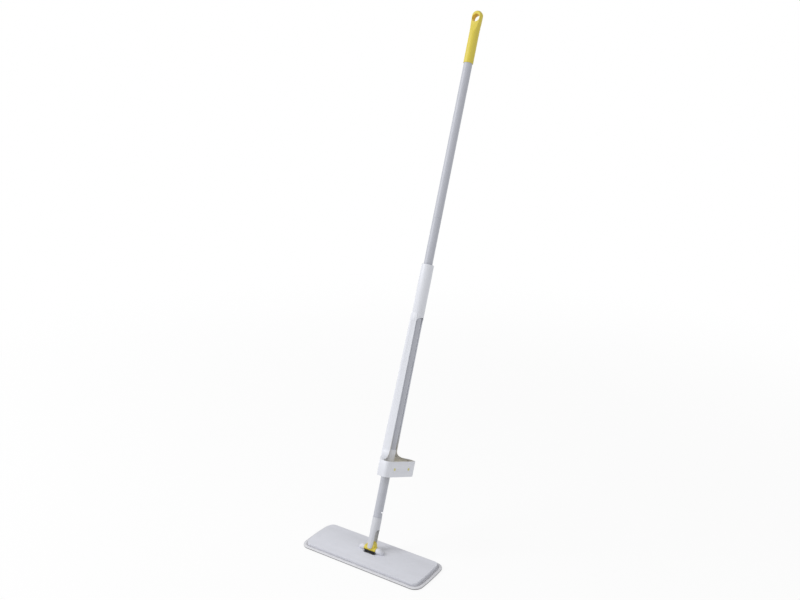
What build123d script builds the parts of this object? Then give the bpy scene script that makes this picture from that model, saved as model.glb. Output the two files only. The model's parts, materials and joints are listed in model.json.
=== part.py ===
from build123d import *
import math
import os

os.makedirs("parts", exist_ok=True)

# Self-wringing flat mop, in millimetres. The origin is the centre of the pad's underside, X runs along
# the head, Y across it and Z up. The pole leans towards +Y about the head's long axle.

# Pad
pad_length = 355.0
pad_width = 125.0
pad_end_bulge = 3.0
pad_corner_radius = 22.0
pile_thickness = 4.3
backing_thickness = 1.2
binding_width = 9.0
binding_lift = 0.6

# Head plates
plate_inset = 9.0
plate_end_inset = 12.5
plate_edge_height = 6.5
plate_centre_rise = 3.3
plate_end_rise = 1.5
plate_bevel_width = 22.0
panel_step_height = 0.5
panel_step_width = 1.4
plate_wall = 2.2
plate_fit = 0.3
base_thickness = 2.5
rib_spacing = 60.0
rib_width = 2.0
rib_height = 1.6
tape_count = 3
tape_width = 22.0
tape_length = 280.0
tape_thickness = 1.0
tape_spacing = 36.0
plate_screw_x = 118.0
plate_screw_y = 18.0
plate_screw_radius = 1.5
plate_screw_head_radius = 3.0
plate_screw_head_height = 1.2
plate_screw_length = 5.0
screw_post_radius = 4.0

# Swivel: the head leans about the axle, and the head folds about the pin
lean_angle = 20.7
axle_height = 22.0
axle_radius = 2.5
axle_length = 62.0
pin_rise = 8.0
pin_radius = 2.5
running_fit = 0.05
lug_radius = 7.0
lug_length = 7.0
lug_nose_length = 11.0
lug_nose_steps = 4
lug_tip_radius = 2.6
lug_tip_drop = 4.5
lug_web_width = 8.0
lug_web_rise = 0.5
knuckle_length = 33.0
lug_gap = 0.6
barrel_radius = 8.0
blade_radius = 10.6
keeper_radius = 10.5
keeper_end_radius = 19.2
keeper_end_rise = 9.2
keeper_split = 2.5
keeper_screw_radius = 1.2
keeper_screw_x = 8.0
keeper_screw_y = 5.3
keeper_screw_depth = 7.6
keeper_screw_length = 10.0
pocket_width = 24.0
pocket_corner_radius = 4.0
pocket_lip_width = 1.6
pocket_lip_height = 0.4
buffer_wall = 1.5
buffer_fit = 0.2
buffer_rim_drop = 1.0

# Swivel fork
fork_radius = 11.5
fork_slot_width = 16.6
fork_slot_top = 50.0
fork_fit = 0.4
tongue_radius = 6.9
tongue_end_round = 3.1
tongue_shoulder = 36.0
tongue_pin_depth = 2.2
fork_shoulder = 79.3
spigot_length = 43.0
spigot_fit = 0.05
rivet_rise = 13.0
rivet_radius = 1.5
rivet_head_radius = 3.2
rivet_head_height = 1.1
rivet_depth = 4.0

# Pole, measured along it from the axle to the top of the grip, and where its two joints come
pole_length = 1357.7
lower_joint_share = 0.2494
upper_joint_share = 0.612
tube_radius = 11.0
tube_wall = 0.8
coupling_length = 36.0
stud_radius = 6.5
stud_length = 24.0

# Grip with its hanging eye
grip_length = 134.0
grip_radius = 12.4
grip_head_radius = 13.7
grip_neck_length = 45.0
eye_radius = 10.0
eye_top_wall = 9.4
eye_thickness = 16.0
eye_flat_radius = 180.0
grip_bore_depth = 73.0

# Wringer, turned a little on the round pole: its sleeve and channel
wringer_turn = -6.0
sleeve_radius = 15.5
sleeve_wall = 2.2
sleeve_length = 122.4
channel_length = 340.1
sleeve_edge_radius = 1.5
sleeve_spigot_length = 6.0
sleeve_spigot_wall = 1.6
sleeve_spigot_fit = 0.1
channel_back = 18.4
channel_half_width = 15.1
channel_corner = 6.5
channel_top_half_width = 13.9
channel_top_corner = 11.0
channel_edge = 8.3
arch_drop = 10.2
arch_half_width = 12.7
arch_corner_radius = 9.0
shoulder_height = 11.0
shoulder_spread = 6.0

# Wringer box, which rests clear of the folded head, and the flare that joins it to the channel
wringer_wall = 2.2
wringer_clearance = 5.0
box_length = 113.4
box_height = 38.0
box_front = 43.7
box_side_back = 15.9
box_corner_radius = 10.0
flare_height = 22.0
flare_tightness = 1.5
flare_steps = 6
box_edge_lip = 8.5

# Guide bushes and friction ring
bush_fit = 0.08
bush_seat_fit = 0.1
upper_bush_length = 17.0
middle_bush_length = 14.0
lower_bush_rise = 8.0
lower_bush_length = 51.2
lower_bush_wall = 1.6
lower_bush_foot_width = 12.0
ring_rise = 60.4
ring_length = 10.0
ring_fit = 0.02

# Scraper inside the wringer box
rail_length = 92.0
rail_height = 19.0
rail_thickness = 2.6
blade_length = 96.0
blade_thickness = 2.5
blade_depth = 4.5
peg_radius = 3.2
peg_spacing = 55.5
peg_head_height = 0.5

# Heights and places that follow from the sizes above
backing_bottom = pile_thickness
base_bottom = pile_thickness + backing_thickness
base_top = base_bottom + base_thickness
edge_top = base_bottom + plate_edge_height
panel_top = edge_top + plate_centre_rise
panel_end_top = edge_top + plate_end_rise
plate_length = pad_length - 2 * plate_end_inset
plate_width = pad_width - 2 * plate_inset
lower_joint = pole_length * lower_joint_share
upper_joint = pole_length * upper_joint_share
grip_bottom = pole_length - grip_length
grip_head = pole_length - grip_head_radius
eye_centre = pole_length - eye_radius - eye_top_wall
box_bottom = pin_rise + pad_length / 2 + wringer_clearance
box_top = box_bottom + box_height
flare_top = box_top + flare_height
sleeve_bottom = flare_top + channel_length
sleeve_top = sleeve_bottom + sleeve_length
pole_frame = Pos(0, 0, axle_height) * Rot(-lean_angle, 0, 0)
wringer_frame = pole_frame * Rot(0, 0, wringer_turn)


def save(node, shape, frame=Location()):
    """Writes one piece, moved from its own frame into the mop's frame."""
    export_step(frame * shape, f"parts/{node}.step")


def head_outline(inset, shorter=0.0):
    """Outline of the head: straight long sides, bulged ends and round corners."""
    half_length = pad_length / 2 - inset - shorter
    half_width = pad_width / 2 - inset
    straight = half_length - pad_end_bulge
    right = ThreePointArc((straight, -half_width), (half_length, 0), (straight, half_width))
    left = ThreePointArc((-straight, half_width), (-half_length, 0), (-straight, -half_width))
    back = Line((straight, half_width), (-straight, half_width))
    front = Line((-straight, -half_width), (straight, -half_width))
    face = make_face([right, back, left, front])
    return fillet(face.vertices(), pad_corner_radius - inset)


def slab(inset, bottom, top):
    """Flat layer of the pad with the head's outline."""
    return extrude(Pos(0, 0, bottom) * head_outline(inset), top - bottom)


def plate_slab(inset, bottom, top):
    """Flat layer of the head plates, which stop a little shorter of the pad's ends than of its sides."""
    outline = head_outline(plate_inset + inset, plate_end_inset - plate_inset)
    return extrude(Pos(0, 0, bottom) * outline, top - bottom)


def rod(radius, bottom, top, inner=0.0):
    """Round bar or tube along Z between two heights."""
    bar = Pos(0, 0, (bottom + top) / 2) * Cylinder(radius, top - bottom)
    if inner:
        bar -= Pos(0, 0, (bottom + top) / 2) * Cylinder(inner, top - bottom)
    return bar


def bar_x(radius, length, z=0.0):
    """Round bar along X, centred on X = 0."""
    return Pos(0, 0, z) * Rot(0, 90, 0) * Cylinder(radius, length)


def bar_y(radius, length, z=0.0):
    """Round bar along Y, centred on Y = 0."""
    return Pos(0, 0, z) * Rot(90, 0, 0) * Cylinder(radius, length)


def block(x0, x1, y0, y1, z0, z1):
    """Rectangular block between two corners."""
    return Pos((x0 + x1) / 2, (y0 + y1) / 2, (z0 + z1) / 2) * Box(x1 - x0, y1 - y0, z1 - z0)


# Pad: pile underneath, woven backing on it and a sewn binding round the edge
save("pad_pile", slab(binding_width, 0, pile_thickness))
save("pad_backing", slab(binding_width, backing_bottom, base_bottom))
save("pad_binding", slab(0, binding_lift, base_bottom) - slab(binding_width, 0, base_bottom))


def plate_body(shrink):
    """Bevelled top of the head, lofted along X through trapezoid sections."""
    half_length = plate_length / 2
    half_width = plate_width / 2 - shrink
    panel_half = plate_width / 2 - plate_bevel_width
    sections = []
    for share in (-1.0, -0.5, 0.0, 0.5, 1.0):
        crown = panel_top - (panel_top - panel_end_top) * share ** 2 - shrink
        edge = edge_top - shrink
        step_half, step_foot = panel_half + panel_step_width, crown - panel_step_height
        points = [(-half_width, 0), (half_width, 0), (half_width, edge), (step_half, step_foot),
                  (panel_half, crown), (-panel_half, crown), (-step_half, step_foot), (-half_width, edge)]
        plane = Plane(origin=(share * half_length, 0, 0), x_dir=(0, 1, 0), z_dir=(1, 0, 0))
        sections.append(plane * make_face(Polyline(*points, close=True)))
    return loft(sections, ruled=True) & plate_slab(shrink, base_bottom, panel_top)


pocket_length = knuckle_length + 2 * lug_gap
screw_points = [(x, y) for x in (-plate_screw_x, 0, plate_screw_x) for y in (-plate_screw_y, plate_screw_y)]


def pocket(grow, bottom, top):
    """Round-cornered well in the middle of the head, under the knuckle."""
    shape = RectangleRounded(pocket_length + 2 * grow, pocket_width + 2 * grow, pocket_corner_radius + grow)
    return extrude(Pos(0, 0, bottom) * shape, top - bottom)


def lug():
    """Bearing lug on the +X side: a round boss, a nose that sinks towards the plate and a web under both."""
    start = pocket_length / 2
    boss = Pos(start + lug_length / 2, 0, axle_height) * Rot(0, 90, 0) * Cylinder(lug_radius, lug_length)
    sections = []
    for step in range(lug_nose_steps + 1):
        share = step / lug_nose_steps
        radius = math.sqrt(lug_radius ** 2 - (lug_radius ** 2 - lug_tip_radius ** 2) * share ** 2)
        centre = (start + lug_length + lug_nose_length * share, 0, axle_height - lug_tip_drop * share ** 2)
        sections.append(Plane(origin=centre, z_dir=(1, 0, 0)) * Circle(radius))
    tip_x = start + lug_length + lug_nose_length
    web = block(start, tip_x, -lug_web_width / 2, lug_web_width / 2,
                panel_top - plate_wall, panel_top + lug_web_rise)
    below = block(start, tip_x, -lug_radius, lug_radius, 0, panel_top - plate_wall)
    return boss + loft(sections) + web - below


# Head plates, screws, hook tapes and the buffer in the well
inside = plate_body(plate_wall) + plate_slab(plate_wall, base_bottom, base_top)
posts = [Pos(x, y, 0) * rod(screw_post_radius, base_top, panel_top - plate_wall) for x, y in screw_points]
post_limit = plate_body(plate_wall / 2)
top_plate = plate_body(0) - inside + lug() + mirror(lug(), Plane.YZ)
for post in posts:
    top_plate += post & post_limit
top_plate += pocket(pocket_lip_width, base_top, panel_top + pocket_lip_height) & block(
    -pocket_length / 2, pocket_length / 2, -pad_width, pad_width, base_top, axle_height)
top_plate -= pocket(0, 0, axle_height + lug_radius + 1)
top_plate -= bar_x(axle_radius, axle_length, axle_height)
screw_shanks = [Pos(x, y, 0) * rod(plate_screw_radius, base_bottom, base_bottom + plate_screw_length)
                for x, y in screw_points]
screw_head_top = base_bottom + plate_screw_head_height
screw_heads = [Pos(x, y, 0) * rod(plate_screw_head_radius, base_bottom, screw_head_top)
               for x, y in screw_points]
plate_screws = [shank + head for shank, head in zip(screw_shanks, screw_heads)]
base_plate = plate_slab(plate_wall + plate_fit, base_bottom, base_top)
for side in (-1, 1):
    rib_y = side * rib_spacing / 2
    base_plate += block(-tape_length / 2, tape_length / 2, rib_y - rib_width / 2, rib_y + rib_width / 2,
                        base_top, base_top + rib_height)
tapes = []
for index in range(tape_count):
    tape_y = (index - (tape_count - 1) / 2) * tape_spacing
    tapes.append(block(-tape_length / 2, tape_length / 2, tape_y - tape_width / 2, tape_y + tape_width / 2,
                       base_bottom, base_bottom + tape_thickness))
for cutter in plate_screws + tapes:
    base_plate -= cutter
for screw in plate_screws:
    top_plate -= screw
buffer_top = panel_top - buffer_rim_drop
joint_buffer = pocket(-buffer_fit, base_top, buffer_top)
joint_buffer -= pocket(-buffer_fit - buffer_wall, base_top + buffer_wall, buffer_top)
save("top_plate", top_plate)
save("base_plate", base_plate)
save("plate_screws", Compound(children=plate_screws))
save("hook_tapes", Compound(children=tapes))
save("joint_buffer", joint_buffer)
save("head_axle", bar_x(axle_radius, axle_length, axle_height))

# Knuckle on the axle, with the black keeper that closes the bearing from below
knuckle = bar_x(barrel_radius, knuckle_length)
blade_thickness_y = fork_slot_width - 2 * fork_fit
knuckle += bar_y(blade_radius, blade_thickness_y, pin_rise)
knuckle -= block(-knuckle_length, knuckle_length, -pad_width, pad_width, -pad_width, -keeper_split)
axle_bore = bar_x(axle_radius + running_fit, knuckle_length + 1)
knuckle -= axle_bore
knuckle -= bar_y(pin_radius + running_fit, blade_thickness_y + 1, pin_rise)
keeper = bar_x(keeper_radius, knuckle_length) & bar_y(keeper_end_radius, knuckle_length, keeper_end_rise)
keeper -= axle_bore
keeper -= block(-knuckle_length, knuckle_length, -pad_width, pad_width, -keeper_split, pad_width)
keeper_screws = []
for x in (-keeper_screw_x, keeper_screw_x):
    for y in (-keeper_screw_y, keeper_screw_y):
        keeper_screws.append(Pos(x, y, 0) * rod(
            keeper_screw_radius, -keeper_screw_depth, keeper_screw_length - keeper_screw_depth))
for screw in keeper_screws:
    knuckle -= screw
    keeper -= screw
save("knuckle", knuckle, pole_frame)
save("axle_keeper", keeper, pole_frame)
save("keeper_screws", Compound(children=keeper_screws), pole_frame)

# Swivel fork: two tongues round the knuckle and a spigot in the lower tube
bore_radius = tube_radius - tube_wall
spigot_radius = bore_radius - spigot_fit
spigot_top = fork_shoulder + spigot_length
slot_half = fork_slot_width / 2
slot_arch = fork_slot_top - slot_half
fork_side = make_face(Polyline(
    (-tongue_radius, pin_rise), (tongue_radius, pin_rise), (fork_radius, tongue_shoulder),
    (fork_radius, spigot_top), (-fork_radius, spigot_top), (-fork_radius, tongue_shoulder), close=True))
fork_side += Pos(0, pin_rise) * Circle(tongue_radius)
fork_limit = extrude(Plane.XZ * fork_side, 2 * fork_radius, both=True)
swivel_fork = rod(fork_radius, pin_rise - tongue_radius, fork_shoulder)
swivel_fork += rod(spigot_radius, fork_shoulder, spigot_top)
swivel_fork &= fork_limit
fork_front = RectangleRounded(2 * fork_radius, spigot_top, tongue_end_round)
fork_middle = pin_rise - tongue_radius + spigot_top / 2
swivel_fork &= extrude(Plane.YZ * Pos(0, fork_middle) * fork_front, 2 * fork_radius, both=True)
swivel_fork -= block(-2 * fork_radius, 2 * fork_radius, -slot_half, slot_half, -fork_radius, slot_arch)
swivel_fork -= bar_x(slot_half, 4 * fork_radius, slot_arch)
pin_length = fork_slot_width + 2 * tongue_pin_depth
fold_pin = bar_y(pin_radius, pin_length, pin_rise)
swivel_fork -= fold_pin
rivet_height = fork_shoulder + rivet_rise
rivet_shank = Rot(0, 90, 0) * Cylinder(rivet_radius, rivet_depth)
rivet_head = Rot(0, 90, 0) * Cylinder(rivet_head_radius, rivet_head_height)
rivet = Pos(tube_radius - rivet_depth / 2, 0, rivet_height) * rivet_shank
rivet_cut = rivet
rivet += (Pos(tube_radius + rivet_head_height / 2, 0, rivet_height) * rivet_head
          + Pos(tube_radius - tube_wall / 2, 0, rivet_height) * rivet_head) - rod(
              tube_radius, fork_shoulder, spigot_top)
swivel_fork -= rivet_cut
save("swivel_fork", swivel_fork, pole_frame)
save("fold_pin", fold_pin, pole_frame)
save("fork_rivet", rivet, pole_frame)

# Tubes of the pole, each joint with a stud below and a socket above
grip_bore_top = grip_bottom + grip_bore_depth
tube_ends = {"lower_tube": (fork_shoulder, lower_joint), "middle_tube": (lower_joint, upper_joint),
             "upper_tube": (upper_joint, grip_bore_top)}
for node, (bottom, top) in tube_ends.items():
    save(node, rod(tube_radius, bottom, top, bore_radius) - rivet_cut, pole_frame)
for name, seam in (("lower", lower_joint), ("upper", upper_joint)):
    stud = rod(spigot_radius, seam - coupling_length, seam) + rod(stud_radius, seam, seam + stud_length)
    socket = rod(spigot_radius, seam, seam + coupling_length)
    socket -= rod(stud_radius + spigot_fit, seam, seam + stud_length + spigot_fit)
    save(f"{name}_joint_stud", stud, pole_frame)
    save(f"{name}_joint_socket", socket, pole_frame)

# Grip: a turned profile that swells into a round head, hollowed on two sides round its hanging eye
neck = grip_head - grip_neck_length
grip_profile = make_face([
    Line((0, grip_bottom), (grip_radius, grip_bottom)),
    Line((grip_radius, grip_bottom), (grip_radius, neck)),
    Spline((grip_radius, neck), (grip_head_radius, grip_head), tangents=((0, 1), (0, 1))),
    RadiusArc((grip_head_radius, grip_head), (0, pole_length), -grip_head_radius),
    Line((0, pole_length), (0, grip_bottom))])
grip = revolve(Plane.XZ * grip_profile, Axis.Z)
grip -= rod(tube_radius, grip_bottom, grip_bore_top)
grip -= bar_y(eye_radius, 4 * grip_head_radius, eye_centre)
for side in (-1, 1):
    flat_centre = side * (eye_thickness / 2 + eye_flat_radius)
    grip -= Pos(0, flat_centre, 0) * bar_x(eye_flat_radius, 4 * grip_head_radius, eye_centre)
save("grip", grip, pole_frame)

# Sleeve of the wringer, held by a short spigot in the top of the wringer body
sleeve_bore = sleeve_radius - sleeve_wall
sleeve = rod(sleeve_radius, sleeve_bottom, sleeve_top)
sleeve = fillet(sleeve.edges().group_by(Axis.Z)[-1], sleeve_edge_radius)
sleeve -= rod(sleeve_bore, sleeve_bottom, sleeve_top)
spigot_outer = sleeve_bore - sleeve_spigot_fit
sleeve += rod(spigot_outer, sleeve_bottom - sleeve_spigot_length, sleeve_bottom + sleeve_wall,
              spigot_outer - sleeve_spigot_wall)
sleeve += rod(sleeve_bore, sleeve_bottom, sleeve_bottom + sleeve_wall, spigot_outer - sleeve_spigot_wall)
save("slider_sleeve", sleeve, wringer_frame)


def channel_section(height, half, side, front, wall, depth=channel_back, corner=channel_corner):
    """Cross-section of the channel or flare: flat back, curved shoulders, straight sides, open front."""
    back = wall - depth
    flat = min(half, channel_half_width) - corner
    half_in = half - wall
    bend = min(half, channel_half_width) - wall
    right = Bezier((back, flat), (back, bend), (side + wall / 2, half_in))
    left = Bezier((side + wall / 2, -half_in), (back, -bend), (back, -flat))
    edges = [Line((back, -flat), (back, flat)), right,
             Line((side + wall / 2, half_in), (front, half_in)), Line((front, half_in), (front, -half_in)),
             Line((front, -half_in), (side + wall / 2, -half_in)), left]
    return Pos(0, 0, height) * make_face(edges)


def box_section(height, wall):
    """Cross-section of the wringer box: shoulders at the back, round corners at the front."""
    face = channel_section(height, box_length / 2, box_side_back, box_front - wall, wall)
    corners = face.vertices().sort_by(Axis.X)[-2:]
    return fillet(corners, box_corner_radius - wall)


channel_side = channel_corner - channel_back
channel_top_side = channel_top_corner - sleeve_radius


def flare_sections(wall, reach):
    """Sections from the top of the box up to the channel, along a tightened quarter ellipse."""
    sections = []
    for step in range(flare_steps + 1):
        angle = math.radians(90 * (1 - step / flare_steps))
        spread = (1 - math.cos(angle)) ** flare_tightness
        half = channel_half_width + (box_length / 2 - channel_half_width) * spread
        side = channel_side + (box_side_back - channel_side) * spread
        front = channel_edge + (box_side_back + box_edge_lip - channel_edge) * spread + reach
        height = flare_top - flare_height * math.sin(angle)
        sections.append(channel_section(height, half, side, front, wall))
    return sections


def wringer_solid(wall, reach):
    """Box, flare and channel as one solid. The inner one, with a wall, cuts the outer one hollow."""
    box = extrude(box_section(box_bottom, wall), box_top - box_bottom)
    flare = loft(flare_sections(wall, reach), ruled=True)
    channel = loft([
        channel_section(flare_top, channel_half_width, channel_side, channel_edge + reach, wall),
        channel_section(sleeve_bottom, channel_top_half_width, channel_top_side, channel_edge + reach, wall,
                        sleeve_radius, channel_top_corner)], ruled=True)
    return box + flare + channel


arch_top = sleeve_bottom - arch_drop
collar_bottom = arch_top - arch_corner_radius
collar = rod(sleeve_radius, collar_bottom, sleeve_bottom)
wringer = wringer_solid(0, 0) + collar - wringer_solid(wringer_wall, 2 * sleeve_radius)
wringer += collar & block(0, sleeve_radius, -sleeve_radius, sleeve_radius, collar_bottom, sleeve_bottom)
wringer -= rod(sleeve_bore, collar_bottom, sleeve_bottom)
arch = RectangleRounded(2 * arch_half_width, 4 * arch_corner_radius, arch_corner_radius)
wringer -= extrude(Plane.YZ * Pos(0, arch_top - 2 * arch_corner_radius) * arch, 2 * sleeve_radius)
shoulder_bottom = sleeve_bottom - shoulder_height
shoulder = Pos(0, 0, shoulder_bottom + shoulder_height / 2) * Cone(
    sleeve_radius + shoulder_spread, sleeve_radius, shoulder_height)
wringer -= rod(2 * (sleeve_radius + shoulder_spread), shoulder_bottom, sleeve_bottom) - shoulder

# Guide bushes and friction ring on the pole
bush_bore = tube_radius + bush_fit
bush_outer = sleeve_bore - bush_seat_fit
seat = sleeve_bottom + sleeve_wall
upper_bush_top = sleeve_top - sleeve_edge_radius
upper_bush = rod(bush_outer, upper_bush_top - upper_bush_length, upper_bush_top, bush_bore)
save("upper_bush", upper_bush, wringer_frame)
save("middle_bush", rod(bush_outer, seat, seat + middle_bush_length, bush_bore), wringer_frame)
ring_bottom = sleeve_bottom + ring_rise
friction_ring = rod(bush_outer, ring_bottom, ring_bottom + ring_length, tube_radius + ring_fit)
save("friction_ring", friction_ring, wringer_frame)
lower_bush_bottom = box_bottom + lower_bush_rise
lower_bush_top = lower_bush_bottom + lower_bush_length
lower_bush = rod(bush_bore + lower_bush_wall, lower_bush_bottom, lower_bush_top)
lower_bush += block(wringer_wall - channel_back, 0, -lower_bush_foot_width / 2, lower_bush_foot_width / 2,
                    lower_bush_bottom, lower_bush_top)
lower_bush -= rod(bush_bore, lower_bush_bottom, lower_bush_top)
save("lower_bush", lower_bush, wringer_frame)

# Scraper: rail on the inside of the front wall, rubber blade on the rail and two pegs through the wall
wall_inside = box_front - wringer_wall
scraper_height = (box_bottom + box_top) / 2
rail_back = wall_inside - rail_thickness
rail = block(rail_back, wall_inside, -rail_length / 2, rail_length / 2,
             scraper_height - rail_height / 2, scraper_height + rail_height / 2)
blade = block(rail_back - blade_depth, rail_back, -blade_length / 2, blade_length / 2,
              scraper_height - blade_thickness / 2, scraper_height + blade_thickness / 2)
pegs = []
for side in (-1, 1):
    peg = Rot(0, 90, 0) * Cylinder(peg_radius, rail_thickness + wringer_wall + peg_head_height)
    peg_middle = (rail_back + box_front + peg_head_height) / 2
    pegs.append(Pos(peg_middle, side * peg_spacing / 2, scraper_height) * peg)
for peg in pegs:
    rail -= peg
    wringer -= peg
save("wringer_body", wringer, wringer_frame)
save("scraper_rail", rail, wringer_frame)
save("scraper_blade", blade, wringer_frame)
save("scraper_pegs", Compound(children=pegs), wringer_frame)
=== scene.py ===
import json
import math

import bmesh
import bpy
from mathutils import Matrix, Vector, noise


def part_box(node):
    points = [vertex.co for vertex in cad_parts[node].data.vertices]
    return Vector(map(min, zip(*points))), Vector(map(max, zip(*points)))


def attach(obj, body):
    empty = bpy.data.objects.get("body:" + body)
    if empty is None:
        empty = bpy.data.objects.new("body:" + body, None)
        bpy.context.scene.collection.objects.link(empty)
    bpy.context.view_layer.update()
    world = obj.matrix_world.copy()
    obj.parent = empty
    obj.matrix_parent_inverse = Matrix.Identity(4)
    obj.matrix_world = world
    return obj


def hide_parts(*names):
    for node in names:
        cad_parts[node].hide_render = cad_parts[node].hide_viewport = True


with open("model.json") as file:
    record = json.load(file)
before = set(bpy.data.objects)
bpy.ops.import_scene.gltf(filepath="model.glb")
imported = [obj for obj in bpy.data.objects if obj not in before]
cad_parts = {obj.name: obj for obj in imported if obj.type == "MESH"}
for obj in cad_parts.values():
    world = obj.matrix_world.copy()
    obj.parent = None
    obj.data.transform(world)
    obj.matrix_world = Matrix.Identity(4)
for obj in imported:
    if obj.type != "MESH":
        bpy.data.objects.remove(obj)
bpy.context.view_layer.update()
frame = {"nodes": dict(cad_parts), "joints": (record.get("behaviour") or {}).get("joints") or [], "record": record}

# Pile of the pad: short looped microfibre yarn, tufted in rows through a cloth backing. Every loop stands as
# its own small bump, the rows wander a little, and the outer loops roll up towards the sewn edge.
pile_low, pile_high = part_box("pad_pile")
edge_low, edge_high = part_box("pad_binding")
head_corner = 0.022
head_bulge = 0.003
hem_width = edge_high.y - pile_high.y
pile_columns = 250
pile_rows = 84
loop_pitch = 0.0058
loop_depth = 0.0015
loop_valley = 0.45
row_wander = 0.0012
wander_scale = 40
edge_roll_width = 0.006
edge_roll_rise = 0.0012
pile_colour = (0.74, 0.74, 0.78)
pile_shade = (0.52, 0.52, 0.57)
dark_foot_colour = (0.16, 0.16, 0.175)
dark_foot_share = 0.85
dark_foot_fade = 0.0014
no_dark_foot = -1.0


def reach_along(y, inset):
    """Half length of the head's outline at y, for an outline that lies in from the edge by inset."""
    half_width = edge_high.y - inset
    corner = head_corner - inset
    side = edge_high.x - inset - head_bulge * min(abs(y) / half_width, 1.0) ** 2
    past_corner = max(abs(y) - half_width + corner, 0.0)
    return side - corner + math.sqrt(max(corner ** 2 - past_corner ** 2, 0.0))


def head_layer(columns, rows, inset, bottom, top):
    """Closed layer with the head's outline, as a grid on its lower and its upper side."""
    mesh = bmesh.new()
    bmesh.ops.create_grid(mesh, x_segments=columns, y_segments=rows, size=1.0)
    for vert in mesh.verts:
        y = vert.co.y * (edge_high.y - inset)
        vert.co = (vert.co.x * reach_along(y, inset), y, bottom)
    raised = bmesh.ops.extrude_face_region(mesh, geom=mesh.faces[:], use_keep_orig=True)
    upper = [item for item in raised["geom"] if isinstance(item, bmesh.types.BMVert)]
    bmesh.ops.translate(mesh, verts=upper, vec=(0, 0, top - bottom))
    bmesh.ops.recalc_face_normals(mesh, faces=mesh.faces[:])
    return mesh


def add_piece(mesh, name, body, slot, material, *nodes, crease=math.radians(35)):
    """Turns a finished mesh into a smooth-shaded piece that rides on a body and stands for CAD nodes."""
    data = bpy.data.meshes.new(name)
    mesh.to_mesh(data)
    mesh.free()
    data.polygons.foreach_set("use_smooth", [True] * len(data.polygons))
    data.set_sharp_from_angle(angle=crease)
    data.materials.append(material)
    piece = bpy.data.objects.new(name, data)
    bpy.context.scene.collection.objects.link(piece)
    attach(piece, body)
    if nodes:
        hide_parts(*nodes)
    return piece


def new_group(name, inputs, outputs):
    """Empty shader group with named sockets, and its input and output nodes."""
    group = bpy.data.node_groups.new(name, "ShaderNodeTree")
    for socket, kind, value in inputs:
        group.interface.new_socket(socket, in_out="INPUT", socket_type=kind).default_value = value
    for socket, kind in outputs:
        group.interface.new_socket(socket, in_out="OUTPUT", socket_type=kind)
    return group, group.nodes.new("NodeGroupInput"), group.nodes.new("NodeGroupOutput")


def add_node(tree, kind, links=None, **settings):
    """New node with its settings, and with the given outputs or plain values on its input sockets."""
    node = tree.nodes.new(kind)
    for setting, value in settings.items():
        setattr(node, setting, value)
    for socket, value in (links or {}).items():
        if isinstance(value, bpy.types.NodeSocket):
            tree.links.new(value, node.inputs[socket])
        else:
            node.inputs[socket].default_value = value
    return node


def new_material(name):
    """Material with its node tree and its shader."""
    material = bpy.data.materials.new(name)
    material.use_nodes = True
    return material, material.node_tree, material.node_tree.nodes["Principled BSDF"]


def yarn_finish():
    """Yarn or cloth: fine crossing threads, loose fuzz, worn patches, painted shade where the threads lie low, and
    a lower edge that turns darker.
    """
    group, given, result = new_group("yarn_finish", [
        ("Colour", "NodeSocketColor", (0.8, 0.8, 0.8, 1)), ("Shade", "NodeSocketColor", (0.5, 0.5, 0.5, 1)),
        ("Threads per Metre", "NodeSocketFloat", 900.0), ("Fuzz", "NodeSocketFloat", 0.5),
        ("Dark Below", "NodeSocketFloat", no_dark_foot),
    ], [("Colour", "NodeSocketColor"), ("Height", "NodeSocketFloat")])
    place = add_node(group, "ShaderNodeTexCoord")
    across, along = [add_node(group, "ShaderNodeTexWave", {
        "Vector": place.outputs["Object"], "Scale": given.outputs["Threads per Metre"], "Distortion": 1.5,
        "Detail": 2.0, "Detail Scale": 2.0}, bands_direction=direction) for direction in ("X", "Y")]
    fuzz = add_node(group, "ShaderNodeTexNoise", {
        "Vector": place.outputs["Object"], "Scale": 2200.0, "Detail": 4.0, "Roughness": 0.7})
    patches = add_node(group, "ShaderNodeTexNoise", {
        "Vector": place.outputs["Object"], "Scale": 26.0, "Detail": 5.0, "Roughness": 0.6})
    crossing = add_node(group, "ShaderNodeMath", {
        0: across.outputs["Fac"], 1: along.outputs["Fac"]}, operation="MAXIMUM")
    rough = add_node(group, "ShaderNodeMath", {
        0: fuzz.outputs["Fac"], 1: given.outputs["Fuzz"]}, operation="MULTIPLY")
    height = add_node(group, "ShaderNodeMath", {0: crossing.outputs[0], 1: rough.outputs[0]}, operation="ADD")
    worn = add_node(group, "ShaderNodeMapRange", {
        "Value": patches.outputs["Fac"], "From Min": 0.35, "From Max": 0.75, "To Min": 0.0, "To Max": 0.22})
    # Painted shade: the colour goes towards Shade where the threads lie low, and worn patches add to it.
    depth = add_node(group, "ShaderNodeMapRange", {
        "Value": height.outputs[0], "From Min": 0.1, "From Max": 1.1, "To Min": 0.45, "To Max": 0.0})
    worn_and_painted_shade = add_node(group, "ShaderNodeMath", {0: worn.outputs[0], 1: depth.outputs[0]}, operation="ADD")
    tint = add_node(group, "ShaderNodeMix", {
        "Factor": worn_and_painted_shade.outputs[0], "A": given.outputs["Colour"], "B": given.outputs["Shade"]},
        data_type="RGBA")
    # Below the given height the colour turns darker towards the lower edge.
    level = add_node(group, "ShaderNodeSeparateXYZ", {"Vector": place.outputs["Object"]})
    foot = add_node(group, "ShaderNodeMath", {
        0: given.outputs["Dark Below"], 1: dark_foot_fade}, operation="SUBTRACT")
    dark_below = add_node(group, "ShaderNodeMapRange", {
        "Value": level.outputs["Z"], "From Min": foot.outputs[0], "From Max": given.outputs["Dark Below"],
        "To Min": dark_foot_share, "To Max": 0.0})
    foot_darkened = add_node(group, "ShaderNodeMix", {
        "Factor": dark_below.outputs[0], "A": tint.outputs["Result"], "B": (*dark_foot_colour, 1)}, data_type="RGBA")
    group.links.new(foot_darkened.outputs["Result"], result.inputs["Colour"])
    group.links.new(height.outputs[0], result.inputs["Height"])
    return group


yarn_group = yarn_finish()


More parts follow.
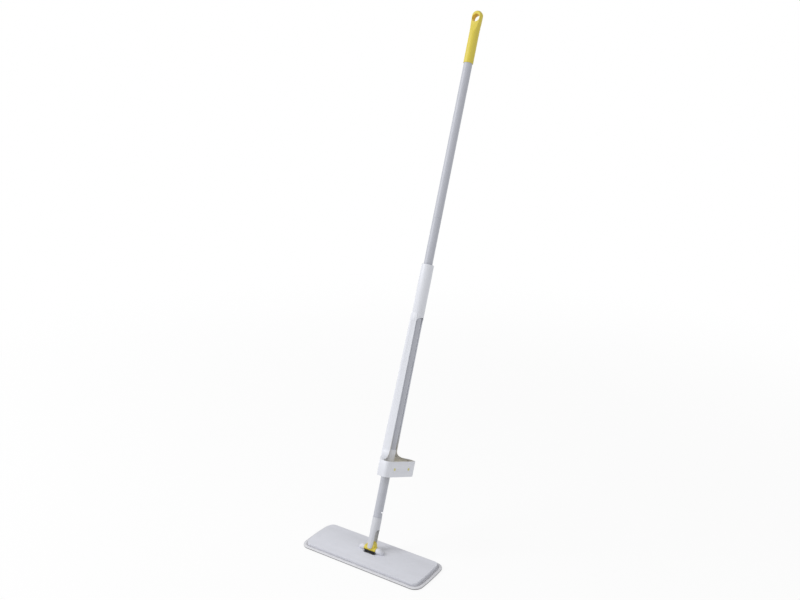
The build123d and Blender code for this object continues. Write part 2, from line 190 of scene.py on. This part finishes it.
def cloth(name, colour, shade, threads, fuzz, relief, dark_below=no_dark_foot):
    """Cloth material: matt, with a soft sheen and the relief of its threads."""
    material, tree, shader = new_material(name)
    shader.inputs["Roughness"].default_value = 0.92
    shader.inputs["Specular IOR Level"].default_value = 0.15
    shader.inputs["Sheen Weight"].default_value = 0.25
    shader.inputs["Sheen Roughness"].default_value = 0.5
    yarn = add_node(tree, "ShaderNodeGroup", {
        "Colour": (*colour, 1), "Shade": (*shade, 1), "Threads per Metre": threads, "Fuzz": fuzz,
        "Dark Below": dark_below}, node_tree=yarn_group)
    bump = add_node(tree, "ShaderNodeBump", {
        "Strength": 0.6, "Distance": relief, "Height": yarn.outputs["Height"]})
    tree.links.new(yarn.outputs["Colour"], shader.inputs["Base Color"])
    tree.links.new(bump.outputs["Normal"], shader.inputs["Normal"])
    return material


pile_mesh = head_layer(pile_columns, pile_rows, hem_width, pile_low.z, pile_high.z)
for vert in pile_mesh.verts:
    if vert.co.z > pile_low.z:
        continue
    x, y = vert.co.x, vert.co.y
    sway = row_wander * noise.noise(Vector((x * wander_scale, y * wander_scale, 0)))
    row = abs(math.sin(math.pi * (y + sway) / loop_pitch))
    offset = 0.5 * (math.floor((y + sway) / loop_pitch) % 2)
    loop = abs(math.sin(math.pi * ((x + sway) / loop_pitch + offset)))
    fullness = row * (loop_valley + (1 - loop_valley) * loop)
    from_edge = min(pile_high.y - abs(y), reach_along(y, hem_width) - abs(x))
    roll = max(1 - from_edge / edge_roll_width, 0.0) ** 2
    vert.co.z = pile_low.z + loop_depth * (1 - fullness) + edge_roll_rise * roll
pile_cloth = cloth("looped_microfibre", pile_colour, pile_shade, threads=420.0, fuzz=0.9, relief=0.0006)
pile = add_piece(pile_mesh, "mop_pile", "head", "pad_pile", pile_cloth, "pad_pile", crease=math.pi)

# Backing of the pad: a woven polyester cloth that the yarn is tufted through. It lies flat on the pile, and
# the hook tapes under the head grip its loops.
backing_low, backing_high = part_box("pad_backing")
backing_columns = 120
backing_rows = 42
quilting_depth = 0.0002
quilting_scale = 90
backing_colour = (0.66, 0.66, 0.7)
backing_shade = (0.42, 0.42, 0.47)
backing_mesh = head_layer(backing_columns, backing_rows, hem_width, backing_low.z, backing_high.z)
for vert in backing_mesh.verts:
    if vert.co.z > backing_low.z:
        vert.co.z -= quilting_depth * (0.5 + 0.5 * noise.noise(vert.co * quilting_scale))
backing_cloth = cloth(
    "woven_backing", backing_colour, backing_shade, threads=300.0, fuzz=0.3, relief=0.0003)
backing = add_piece(
    backing_mesh, "mop_backing", "head", "pad_cloth", backing_cloth, "pad_backing", crease=math.pi)

# Edge binding of the pad: a folded tape sewn round the rim, which gives it a rolled hem. The thread pulls the
# hem in a little between stitches, so it puckers along its length.
hem_steps = 12
corner_steps = 8
side_cuts = 60
end_cuts = 20
hem_squareness = 0.75
pucker_depth = 0.0001
pucker_scale = 260
# Height below which the hem's colour turns darker towards its lower edge.
hem_dark_foot = 0.0046
hem_colour = (0.76, 0.76, 0.79)
hem_shade = (0.62, 0.62, 0.66)


def head_ring(mesh, inset, height):
    """Closed loop of the head's outline at a height: straight sides, bulged ends and round corners."""
    half_x, half_y = edge_high.x - inset, edge_high.y - inset
    corners = [
        mesh.verts.new((x * half_x, y * half_y, height)) for x, y in ((1, -1), (1, 1), (-1, 1), (-1, -1))]
    for index in range(4):
        mesh.edges.new((corners[index - 1], corners[index]))
    rounded = bmesh.ops.bevel(
        mesh, geom=corners, offset=head_corner - inset, offset_type="OFFSET", segments=corner_steps,
        profile=0.5, affect="VERTICES", material=-1)
    ring = {edge for vert in rounded["verts"] for edge in vert.link_edges}
    longest = sorted(ring, key=lambda edge: edge.calc_length())[-4:]
    for edges, cuts in ((longest[2:], side_cuts), (longest[:2], end_cuts)):
        cut = bmesh.ops.subdivide_edges(mesh, edges=edges, cuts=cuts)
        ring |= {item for item in cut["geom"] if isinstance(item, bmesh.types.BMEdge)}
    mesh.edges.index_update()
    ring = sorted((edge for edge in ring if edge.is_valid), key=lambda edge: edge.index)
    for vert in {vert for edge in ring for vert in edge.verts}:
        if abs(vert.co.x) > half_x - head_corner:
            vert.co.x -= math.copysign(head_bulge * (vert.co.y / half_y) ** 2, vert.co.x)
    return ring


hem_mesh = bmesh.new()
hem_middle = (edge_low.z + edge_high.z) / 2
hem_half_height = (edge_high.z - edge_low.z) / 2
hem_rings = []
for step in range(hem_steps):
    turn = 2 * math.pi * step / hem_steps
    across = math.copysign(abs(math.cos(turn)) ** hem_squareness, math.cos(turn))
    upward = math.copysign(abs(math.sin(turn)) ** hem_squareness, math.sin(turn))
    hem_rings.append(head_ring(
        hem_mesh, hem_width / 2 * (1 + across), hem_middle + hem_half_height * upward))
for first, second in zip(hem_rings, hem_rings[1:] + hem_rings[:1]):
    bmesh.ops.bridge_loops(hem_mesh, edges=first + second)
bmesh.ops.recalc_face_normals(hem_mesh, faces=hem_mesh.faces[:])
for vert in hem_mesh.verts:
    vert.co += vert.normal * (pucker_depth * (noise.noise(vert.co * pucker_scale) - 1) / 2)
hem_cloth = cloth(
    "hem_tape", hem_colour, hem_shade, threads=360.0, fuzz=0.25, relief=0.00015, dark_below=hem_dark_foot)
hem = add_piece(hem_mesh, "mop_hem", "head", "pad_cloth", hem_cloth, "pad_binding", crease=math.pi)

# Seam of the binding: one row of lock stitches in white polyester thread, which runs along the top of the hem
# and holds the folded tape, the backing and the pile together.
stitch_pitch = 0.0042
stitch_length = 0.0028
stitch_radius = 0.00035
seam_inset = 0.0022
thread_colour = (0.74, 0.74, 0.78)
thread_shade = (0.58, 0.58, 0.62)
seam_mesh = bmesh.new()
seam_ring = head_ring(seam_mesh, seam_inset, edge_high.z - stitch_radius / 2)
start = seam_ring[0].verts[0]
walk, edge = [start.co.copy()], seam_ring[0]
vert = edge.other_vert(start)
while vert is not start:
    walk.append(vert.co.copy())
    edge = next(other for other in vert.link_edges if other is not edge)
    vert = edge.other_vert(vert)
bmesh.ops.delete(seam_mesh, geom=seam_mesh.verts[:], context="VERTS")
walk.append(walk[0])
due = 0.0
for here, there in zip(walk, walk[1:]):
    run = there - here
    along_seam = run.to_track_quat("X", "Z").to_matrix().to_4x4()
    while due < run.length:
        place = Matrix.Translation(here + run.normalized() * due) @ along_seam
        bmesh.ops.create_uvsphere(
            seam_mesh, u_segments=6, v_segments=5, radius=1.0,
            matrix=place @ Matrix.Diagonal((stitch_length / 2, stitch_radius, stitch_radius, 1)))
        due += stitch_pitch
    due -= run.length
thread = cloth("sewing_thread", thread_colour, thread_shade, threads=1500.0, fuzz=0.4, relief=0.0001)
add_piece(seam_mesh, "hem_stitches", "head", "pad_cloth", thread, crease=math.pi)

# Base plate, hook tapes and plate screws: the flat underside of the head, which the pad sticks to. The plate
# is moulded, the tapes are glued in their recesses, and zinc-plated screws hold it up against the top plate.
mould_grain = 1500.0
plate_colour = (0.7, 0.71, 0.768)
hook_colour = (0.6, 0.6, 0.64)
hook_shade = (0.38, 0.38, 0.42)
zinc_colour = (0.62, 0.62, 0.64)


def mould_finish():
    """Moulded plastic: fine die grain, slow changes of tone and patches of handling scuffs."""
    group, given, result = new_group("mould_finish", [
        ("Colour", "NodeSocketColor", (0.8, 0.8, 0.8, 1)), ("Tone", "NodeSocketFloat", 0.06),
        ("Roughness", "NodeSocketFloat", 0.4), ("Scuffs", "NodeSocketFloat", 0.3),
    ], [("Colour", "NodeSocketColor"), ("Roughness", "NodeSocketFloat"), ("Height", "NodeSocketFloat")])
    place = add_node(group, "ShaderNodeTexCoord")
    grain = add_node(group, "ShaderNodeTexNoise", {
        "Vector": place.outputs["Object"], "Scale": mould_grain, "Detail": 3.0, "Roughness": 0.55})
    cloud = add_node(group, "ShaderNodeTexNoise", {
        "Vector": place.outputs["Object"], "Scale": 24.0, "Detail": 4.0, "Roughness": 0.55})
    streak = add_node(group, "ShaderNodeTexNoise", {
        "Vector": place.outputs["Object"], "Scale": 170.0, "Detail": 6.0, "Roughness": 0.65,
        "Distortion": 1.2})
    scuff = add_node(group, "ShaderNodeMapRange", {
        "Value": streak.outputs["Fac"], "From Min": 0.58, "From Max": 0.72, "To Min": 0.0, "To Max": 1.0})
    scuffed = add_node(group, "ShaderNodeMath", {
        0: scuff.outputs[0], 1: given.outputs["Scuffs"]}, operation="MULTIPLY")
    darker = add_node(group, "ShaderNodeHueSaturation", {"Value": 0.72, "Color": given.outputs["Colour"]})
    shift = add_node(group, "ShaderNodeMath", {
        0: cloud.outputs["Fac"], 1: given.outputs["Tone"]}, operation="MULTIPLY")
    toned = add_node(group, "ShaderNodeMix", {
        "Factor": shift.outputs[0], "A": given.outputs["Colour"], "B": darker.outputs["Color"]},
        data_type="RGBA")
    faded = add_node(group, "ShaderNodeHueSaturation", {
        "Saturation": 0.85, "Value": 1.08, "Color": toned.outputs["Result"]})
    rubbed = add_node(group, "ShaderNodeMix", {
        "Factor": scuffed.outputs[0], "A": toned.outputs["Result"], "B": faded.outputs["Color"]},
        data_type="RGBA")
    spread = add_node(group, "ShaderNodeMapRange", {
        "Value": grain.outputs["Fac"], "From Min": 0.3, "From Max": 0.7, "To Min": -0.05, "To Max": 0.05})
    grained = add_node(group, "ShaderNodeMath", {
        0: given.outputs["Roughness"], 1: spread.outputs[0]}, operation="ADD")
    dulled = add_node(group, "ShaderNodeMath", {
        0: scuffed.outputs[0], 1: 0.18, 2: grained.outputs[0]}, operation="MULTIPLY_ADD")
    relief = add_node(group, "ShaderNodeMath", {
        0: scuffed.outputs[0], 1: -0.3, 2: grain.outputs["Fac"]}, operation="MULTIPLY_ADD")
    group.links.new(rubbed.outputs["Result"], result.inputs["Colour"])
    group.links.new(dulled.outputs[0], result.inputs["Roughness"])
    group.links.new(relief.outputs[0], result.inputs["Height"])
    return group


mould_group = mould_finish()


def moulded(name, colour, roughness, tone=0.25, scuffs=0.3, relief=0.00008, specular=0.4):
    """Moulded plastic, rubber or coating material with die grain and light scuffs."""
    material, tree, shader = new_material(name)
    shader.inputs["Specular IOR Level"].default_value = specular
    mould = add_node(tree, "ShaderNodeGroup", {
        "Colour": (*colour, 1), "Roughness": roughness, "Tone": tone, "Scuffs": scuffs},
        node_tree=mould_group)
    bump = add_node(tree, "ShaderNodeBump", {
        "Strength": 0.5, "Distance": relief, "Height": mould.outputs["Height"]})
    tree.links.new(mould.outputs["Colour"], shader.inputs["Base Color"])
    tree.links.new(mould.outputs["Roughness"], shader.inputs["Roughness"])
    tree.links.new(bump.outputs["Normal"], shader.inputs["Normal"])
    return material


def plated(name, colour, roughness):
    """Plated or bright metal with changes of tone and dull scuffs."""
    material, tree, shader = new_material(name)
    shader.inputs["Metallic"].default_value = 1.0
    mould = add_node(tree, "ShaderNodeGroup", {
        "Colour": (*colour, 1), "Roughness": roughness, "Tone": 0.5, "Scuffs": 0.6}, node_tree=mould_group)
    tree.links.new(mould.outputs["Colour"], shader.inputs["Base Color"])
    tree.links.new(mould.outputs["Roughness"], shader.inputs["Roughness"])
    return material


def paint(material, *nodes):
    """Gives CAD nodes that keep their own shape a finish."""
    for node in nodes:
        data = frame["nodes"][node].data
        data.materials.clear()
        data.materials.append(material)


plate_plastic = moulded("plate_plastic", plate_colour, roughness=0.46, tone=0.2, scuffs=0.4)
hook_tape = cloth("hook_tape", hook_colour, hook_shade, threads=500.0, fuzz=0.8, relief=0.0006)
zinc_plate = plated("zinc_plated_steel", zinc_colour, roughness=0.32)
paint(plate_plastic, "base_plate")
paint(hook_tape, "hook_tapes")
paint(zinc_plate, "plate_screws")

# Top plate: a moulded shell with a flat panel, bevels down to both long sides and two bearing lugs in the
# middle. The corners are rounded as they come from the mould.
weld = 0.000002
flat_angle = math.radians(0.4)
edge_angle = math.radians(28)
rim_inset = 0.004
rim_radius = 0.005
rim_steps = 6
plate_edge_radius = 0.0006


def welded(node):
    """Copy of a CAD node as one closed mesh, with its flat faces made whole again."""
    mesh = bmesh.new()
    mesh.from_mesh(frame["nodes"][node].data)
    bmesh.ops.remove_doubles(mesh, verts=mesh.verts[:], dist=weld)
    bmesh.ops.dissolve_limit(mesh, angle_limit=flat_angle, verts=mesh.verts[:], edges=mesh.edges[:])
    return mesh


def sharp_edges(mesh, angle=edge_angle):
    """Edges that a mould would round over."""
    return [edge for edge in mesh.edges if edge.is_manifold and edge.calc_face_angle() > angle]


def rounded(mesh, edges, radius, segments=2):
    """The mesh with some of its edges rounded over."""
    bmesh.ops.bevel(
        mesh, geom=edges, offset=radius, offset_type="OFFSET", segments=segments, profile=0.5,
        affect="EDGES", clamp_overlap=True, material=-1)
    return mesh


def softened(node, radius, segments=2, angle=edge_angle):
    """Copy of a CAD node with all its sharp edges rounded over."""
    mesh = welded(node)
    return rounded(mesh, sharp_edges(mesh, angle), radius, segments)


plate_low, plate_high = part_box("top_plate")
plate_mesh = welded("top_plate")


def on_rim(vert):
    """True for the upper corner line of the plate's outer wall."""
    outside = abs(vert.co.y) > plate_high.y - rim_inset or abs(vert.co.x) > plate_high.x - rim_inset
    return outside and vert.co.z > plate_low.z + rim_inset


rim = [edge for edge in sharp_edges(plate_mesh) if on_rim(edge.verts[0]) and on_rim(edge.verts[1])]
rounded(plate_mesh, rim, rim_radius, segments=rim_steps)
rounded(plate_mesh, sharp_edges(plate_mesh), plate_edge_radius)
add_piece(plate_mesh, "head_plate", "head", "plate_plastic", plate_plastic, "top_plate")

# Joint buffer: a soft light grey rubber tray pressed into the well of the head, under the swivel. It keeps
# the knuckle from knocking on the plate and hides the inside of the head.
buffer_colour = (0.5, 0.5, 0.52)
buffer_rubber = moulded("buffer_rubber", buffer_colour, roughness=0.62, tone=0.3, scuffs=0.3, specular=0.3)
paint(buffer_rubber, "joint_buffer")

# Knuckle: the yellow moulded swivel block, a barrel on the head's steel axle with an upright blade for the
# fork. A black keeper is screwed on from below and closes the bearing round the axle.
yellow_colour = (0.71, 0.585, 0.078)
keeper_colour = (0.018, 0.018, 0.02)
knuckle_edge_radius = 0.0006
keeper_edge_radius = 0.0004
yellow_plastic = moulded("yellow_plastic", yellow_colour, roughness=0.46, tone=0.25, scuffs=0.25)
black_plastic = moulded("black_plastic", keeper_colour, roughness=0.5, tone=0.3, scuffs=0.2, specular=0.3)
add_piece(softened("knuckle", knuckle_edge_radius), "swivel_knuckle", "knuckle", "yellow_plastic",
          yellow_plastic, "knuckle")
add_piece(softened("axle_keeper", keeper_edge_radius), "swivel_keeper", "knuckle", "black_plastic",
          black_plastic, "axle_keeper")
paint(zinc_plate, "head_axle", "keeper_screws")

# Swivel fork: a moulded light grey fitting, plugged into the lower tube up to its shoulder and held there by
# an aluminium rivet. Its two tongues take the steel fold pin, and the slot between them is painted darker as
# painted shade.
fork_colour = (0.61, 0.62, 0.665)
slot_painted_shade = (0.17, 0.165, 0.14)
rivet_colour = (0.88, 0.88, 0.9)
fork_edge_radius = 0.0006
joints = {joint["name"]: joint for joint in frame["joints"]}
pole_axis = Vector(joints["wringer_slide"]["axis"])
pole_side = Vector(joints["head_fold"]["axis"])
axle = Vector(joints["head_lean"]["pos_m"])


def inner_painted_light():
    """Painted light or shade: another tone on the faces that look in towards an axis, growing from one place along
    it to another.
    """
    group, given, result = new_group("inner_painted_light", [
        ("Colour", "NodeSocketColor", (0.8, 0.8, 0.8, 1)), ("Inside", "NodeSocketColor", (0.5, 0.5, 0.5, 1)),
        ("Amount", "NodeSocketFloat", 0.5), ("Centre", "NodeSocketVector", (0, 0, 0)),
        ("Axis", "NodeSocketVector", (0, 0, 1)), ("Within", "NodeSocketFloat", 0.1),
        ("Start", "NodeSocketFloat", 0.0), ("Full", "NodeSocketFloat", 0.1),
    ], [("Colour", "NodeSocketColor")])
    place = add_node(group, "ShaderNodeTexCoord")
    out = add_node(group, "ShaderNodeVectorMath", {
        0: place.outputs["Object"], 1: given.outputs["Centre"]}, operation="SUBTRACT")
    along = add_node(group, "ShaderNodeVectorMath", {
        0: out.outputs[0], 1: given.outputs["Axis"]}, operation="DOT_PRODUCT")
    foot = add_node(group, "ShaderNodeVectorMath", {
        0: given.outputs["Axis"], "Scale": along.outputs["Value"]}, operation="SCALE")
    inward = add_node(group, "ShaderNodeVectorMath", {
        0: foot.outputs[0], 1: out.outputs[0]}, operation="SUBTRACT")
    line = add_node(group, "ShaderNodeVectorMath", {0: inward.outputs[0]}, operation="NORMALIZE")
    facing = add_node(group, "ShaderNodeVectorMath", {
        0: line.outputs[0], 1: place.outputs["Normal"]}, operation="DOT_PRODUCT")
    inside = add_node(group, "ShaderNodeMapRange", {
        "Value": facing.outputs["Value"], "From Min": 0.05, "From Max": 0.25,
        "To Min": 0.0, "To Max": given.outputs["Amount"]})
    reach = add_node(group, "ShaderNodeMapRange", {
        "Value": along.outputs["Value"], "From Min": given.outputs["Start"],
        "From Max": given.outputs["Full"]})
    distance = add_node(group, "ShaderNodeVectorMath", {0: inward.outputs[0]}, operation="LENGTH")
    near = add_node(group, "ShaderNodeMath", {
        0: distance.outputs["Value"], 1: given.outputs["Within"]}, operation="LESS_THAN")
    placed = add_node(group, "ShaderNodeMath", {
        0: reach.outputs[0], 1: near.outputs[0]}, operation="MULTIPLY")
    share = add_node(group, "ShaderNodeMath", {
        0: inside.outputs[0], 1: placed.outputs[0]}, operation="MULTIPLY")
    toned = add_node(group, "ShaderNodeMix", {
        "Factor": share.outputs[0], "A": given.outputs["Colour"], "B": given.outputs["Inside"]},
        data_type="RGBA")
    group.links.new(toned.outputs["Result"], result.inputs["Colour"])
    return group


painted_light_group = inner_painted_light()


def paint_light_inside(material, colour, amount, centre, axis, start, full, within=0.1):
    """Paints light or shade into a moulded material's colour inside a slot, a box or an eye."""
    tree = material.node_tree
    shader = tree.nodes["Principled BSDF"]
    inner = add_node(tree, "ShaderNodeGroup", {
        "Colour": shader.inputs["Base Color"].links[0].from_socket, "Inside": (*colour, 1),
        "Amount": amount, "Centre": centre, "Axis": axis, "Within": within, "Start": start, "Full": full},
        node_tree=painted_light_group)
    tree.links.new(inner.outputs["Colour"], shader.inputs["Base Color"])
    return material


# The faces inside the slot are painted darker: painted shade where the tongues keep the light out.
fork_with_slot_shade = paint_light_inside(
    moulded("fork_plastic_slot_shade", fork_colour, roughness=0.42, tone=0.25, scuffs=0.35),
    slot_painted_shade, amount=0.5, centre=axle, axis=pole_axis, start=0.012, full=0.022)
add_piece(softened("swivel_fork", fork_edge_radius), "pole_fork", "pole", "grey_plastic", fork_with_slot_shade,
          "swivel_fork")
rivet_metal = plated("bright_aluminium", rivet_colour, roughness=0.3)
paint(rivet_metal, "fork_rivet")
paint(zinc_plate, "fold_pin")

# Studs and sockets of the pole's joints: moulded light grey plugs, pressed into the ends of the tubes. The
# stud of one length goes into the socket of the next, and both are hidden inside the pole.
fork_plastic = moulded("fork_plastic", fork_colour, roughness=0.42, tone=0.25, scuffs=0.35)
paint(fork_plastic, "lower_joint_stud", "lower_joint_socket", "upper_joint_stud", "upper_joint_socket")

# Pole tubes: three lengths of thin steel tube with a stoved grey coating, screwed end to end. The ends are
# turned in slightly, so a fine dark line shows at each joint.
along_pole = Matrix((
    (1, pole_side.x, pole_axis.x, axle.x),
    (0, pole_side.y, pole_axis.y, axle.y),
    (0, pole_side.z, pole_axis.z, axle.z),
    (0, 0, 0, 1)))
coat_colour = (0.495, 0.508, 0.562)
tube_coating = moulded(
    "stoved_coating", coat_colour, roughness=0.39, tone=0.15, scuffs=0.2, relief=0.00003)
tube_turns = 48
tube_wall = 0.0008
tube_end_round = 0.0005


def pole_span(node):
    """Where a node on the pole starts and ends along it, and its radius."""
    rows = [along_pole.inverted() @ vert.co for vert in frame["nodes"][node].data.vertices]
    return min(row.z for row in rows), max(row.z for row in rows), max(row.x for row in rows)


def turned(profile, turns):
    """Closed ring spun from a profile of (radius, height) points round the pole's axis."""
    mesh = bmesh.new()
    verts = [mesh.verts.new((radius, 0, height)) for radius, height in profile]
    edges = [mesh.edges.new((verts[index - 1], verts[index])) for index in range(len(verts))]
    bmesh.ops.spin(
        mesh, geom=verts + edges, cent=(0, 0, 0), axis=(0, 0, 1), angle=2 * math.pi, steps=turns,
        use_merge=True)
    bmesh.ops.remove_doubles(mesh, verts=mesh.verts[:], dist=weld)
    bmesh.ops.recalc_face_normals(mesh, faces=mesh.faces[:])
    bmesh.ops.transform(mesh, matrix=along_pole, verts=mesh.verts[:])
    return mesh


for node in ("lower_tube", "middle_tube", "upper_tube"):
    bottom, top, radius = pole_span(node)
    bore = radius - tube_wall
    profile = [
        (bore, bottom), (radius - tube_end_round, bottom), (radius, bottom + tube_end_round),
        (radius, top - tube_end_round), (radius - tube_end_round, top), (bore, top)]
    add_piece(turned(profile, tube_turns), f"pole_{node}", "pole", "pole_coating", tube_coating, node)

# Grip: a moulded yellow handle pushed over the upper tube. Its end is hollowed from both sides round a
# hanging eye, and its edges are rounded for the hand.
# The eye's inner wall is painted a brighter, deeper orange: painted light standing in for light glowing through
# the yellow plastic.
eye_painted_light = (0.78, 0.52, 0.03)
eye_margin = 0.0005
grip_edge_radius = 0.0012
grip_edge_steps = 3
grip_edge_angle = math.radians(33)
eye = next(mount for mount in frame["record"]["mounts"] if mount["name"] == "hanging_eye")
grip_plastic = paint_light_inside(
    moulded("grip_plastic", yellow_colour, roughness=0.46, tone=0.25, scuffs=0.25),
    eye_painted_light, amount=0.9, centre=eye["pos_m"], axis=eye["axis"], start=-0.2, full=-0.1,
    within=eye["dims"]["r_mm"] / 1000 + eye_margin)
add_piece(softened("grip", grip_edge_radius, grip_edge_steps, grip_edge_angle), "pole_grip", "pole",
          "yellow_plastic", grip_plastic, "grip")

# Wringer sleeve: the round white handle that slides on the pole, moulded with a rounded top edge. A short
# spigot at its foot is pressed into the top of the wringer body.
white_colour = (0.74, 0.755, 0.81)
sleeve_edge_radius = 0.0005
white_plastic = moulded("white_plastic", white_colour, roughness=0.38, tone=0.12, scuffs=0.12)
add_piece(softened("slider_sleeve", sleeve_edge_radius), "wringer_sleeve", "wringer", "white_plastic",
          white_plastic, "slider_sleeve")

# Guide bushes and friction ring: moulded bushes that run on the pole and keep the wringer straight. Two grey
# ones and a black rubber ring, which grips the pole, are hidden in the wringer. The lowest bush is white and
# stands in the box, on a foot fixed to its back wall.
rubber_colour = (0.022, 0.022, 0.024)
black_rubber = moulded("black_rubber", rubber_colour, roughness=0.7, tone=0.3, scuffs=0.2, specular=0.25)
paint(fork_plastic, "upper_bush", "middle_bush")
paint(black_rubber, "friction_ring")
paint(white_plastic, "lower_bush")

# Wringer body: one thin-walled white moulding, an open channel that flares out into the box the pad is drawn
# through. Inside the box its white is painted a darker brownish grey, as painted shade.
box_painted_shade = (0.66, 0.63, 0.55)
box_shade_offset = Vector((0.025, 0, 0))
body_edge_radius = 0.0006
# Painted shade: faces inside the box and flare turn a darker brownish grey.
white_with_box_shade = paint_light_inside(
    moulded("white_plastic_box_shade", white_colour, roughness=0.38, tone=0.12, scuffs=0.12),
    box_painted_shade, amount=0.85, centre=axle + box_shade_offset, axis=pole_axis, start=0.3, full=0.245)
add_piece(softened("wringer_body", body_edge_radius), "wringer_shell", "wringer", "white_plastic",
          white_with_box_shade, "wringer_body")

# Scraper: a yellow rail clipped inside the front wall by two pegs, whose ends show as dots on the wall. It
# carries the rubber blade that presses the water out of the pad.
peg_colour = (0.66, 0.61, 0.2)
rail_edge_radius = 0.0004
peg_edge_radius = 0.0003
paint(black_rubber, "scraper_blade")
add_piece(softened("scraper_rail", rail_edge_radius), "wringer_rail", "wringer", "yellow_plastic",
          yellow_plastic, "scraper_rail")
peg_plastic = moulded("peg_plastic", peg_colour, roughness=0.46, tone=0.2, scuffs=0.2)
add_piece(softened("scraper_pegs", peg_edge_radius), "wringer_pegs", "wringer", "yellow_plastic",
          peg_plastic, "scraper_pegs")

# Studio: a pale floor that fades out into a white surround, a large soft lamp on the left in front, and a
# weaker one on the right. The camera stands where the photograph was taken from.
floor_radius = 2.8
floor_fade_start = 0.8
floor_colour = (0.93, 0.93, 0.93)
floor_glow = 0.88
surround_light = 0.5
surround_seen = 1.0
lamp_target = Vector((0, 0.2, 0.5))
camera_place = (1.1118, -1.5353, 1.2097)
camera_aim = Vector((-0.5337, 0.7982, -0.2793))
camera_sensor = 36.0
camera_lens = 39.375
floor_mesh = bmesh.new()
bmesh.ops.create_circle(floor_mesh, cap_ends=True, segments=96, radius=floor_radius)
floor_data = bpy.data.meshes.new("studio_floor")
floor_mesh.to_mesh(floor_data)
floor_mesh.free()
floor = bpy.data.objects.new("studio_floor", floor_data)
bpy.context.scene.collection.objects.link(floor)
floor_paint, floor_tree, floor_shader = new_material("studio_floor")
floor_shader.inputs["Base Color"].default_value = (*floor_colour, 1)
floor_shader.inputs["Roughness"].default_value = 0.9
floor_shader.inputs["Specular IOR Level"].default_value = 0.0
floor_place = add_node(floor_tree, "ShaderNodeTexCoord")
floor_distance = add_node(floor_tree, "ShaderNodeVectorMath", {
    0: floor_place.outputs["Object"]}, operation="LENGTH")
floor_fade = add_node(floor_tree, "ShaderNodeMapRange", {
    "Value": floor_distance.outputs["Value"], "From Min": floor_fade_start, "From Max": floor_radius,
    "To Min": 1.0, "To Max": 0.0}, interpolation_type="SMOOTHSTEP")
floor_tree.links.new(floor_fade.outputs[0], floor_shader.inputs["Alpha"])
floor_white = add_node(floor_tree, "ShaderNodeEmission", {"Strength": 1.0})


def seen_share(tree):
    """One for rays that show the studio to the camera, straight, mirrored or through a clear piece."""
    rays = add_node(tree, "ShaderNodeLightPath")
    direct = add_node(tree, "ShaderNodeMath", {
        0: rays.outputs["Is Camera Ray"], 1: rays.outputs["Is Glossy Ray"]}, operation="MAXIMUM")
    return add_node(tree, "ShaderNodeMath", {
        0: direct.outputs[0], 1: rays.outputs["Is Transmission Ray"]}, operation="MAXIMUM").outputs[0]


floor_light = add_node(floor_tree, "ShaderNodeMath", {
    0: seen_share(floor_tree), 1: floor_glow}, operation="MULTIPLY")
floor_mix = add_node(floor_tree, "ShaderNodeMixShader", {
    0: floor_light.outputs[0], 1: floor_shader.outputs[0], 2: floor_white.outputs[0]})
floor_tree.links.new(floor_mix.outputs[0], floor_tree.nodes["Material Output"].inputs["Surface"])
floor_data.materials.append(floor_paint)

world = bpy.data.worlds.new("studio")
world.use_nodes = True
bpy.context.scene.world = world
sky = world.node_tree
surround = add_node(sky, "ShaderNodeMapRange", {
    "Value": seen_share(sky), "To Min": surround_light, "To Max": surround_seen})
sky.nodes["Background"].inputs["Color"].default_value = (1, 1, 1, 1)
sky.links.new(surround.outputs[0], sky.nodes["Background"].inputs["Strength"])


def soft_lamp(name, place, size, power):
    """Square lamp turned towards the middle of the mop."""
    lamp = bpy.data.lights.new(name, "AREA")
    lamp.size = size
    lamp.energy = power
    holder = bpy.data.objects.new(name, lamp)
    holder.location = place
    holder.rotation_euler = (lamp_target - Vector(place)).to_track_quat("-Z", "Y").to_euler()
    bpy.context.scene.collection.objects.link(holder)


soft_lamp("key_lamp", place=(-2.3, -1.9, 2.4), size=2.0, power=79.0)
soft_lamp("fill_lamp", place=(2.2, -0.6, 1.6), size=1.8, power=11.5)

camera_data = bpy.data.cameras.new("camera")
camera_data.sensor_width = camera_sensor
camera_data.lens = camera_lens
camera = bpy.data.objects.new("camera", camera_data)
camera.location = camera_place
camera.rotation_euler = camera_aim.to_track_quat("-Z", "Y").to_euler()
bpy.context.scene.collection.objects.link(camera)
bpy.context.scene.camera = camera
bpy.context.scene.view_settings.view_transform = "Standard"
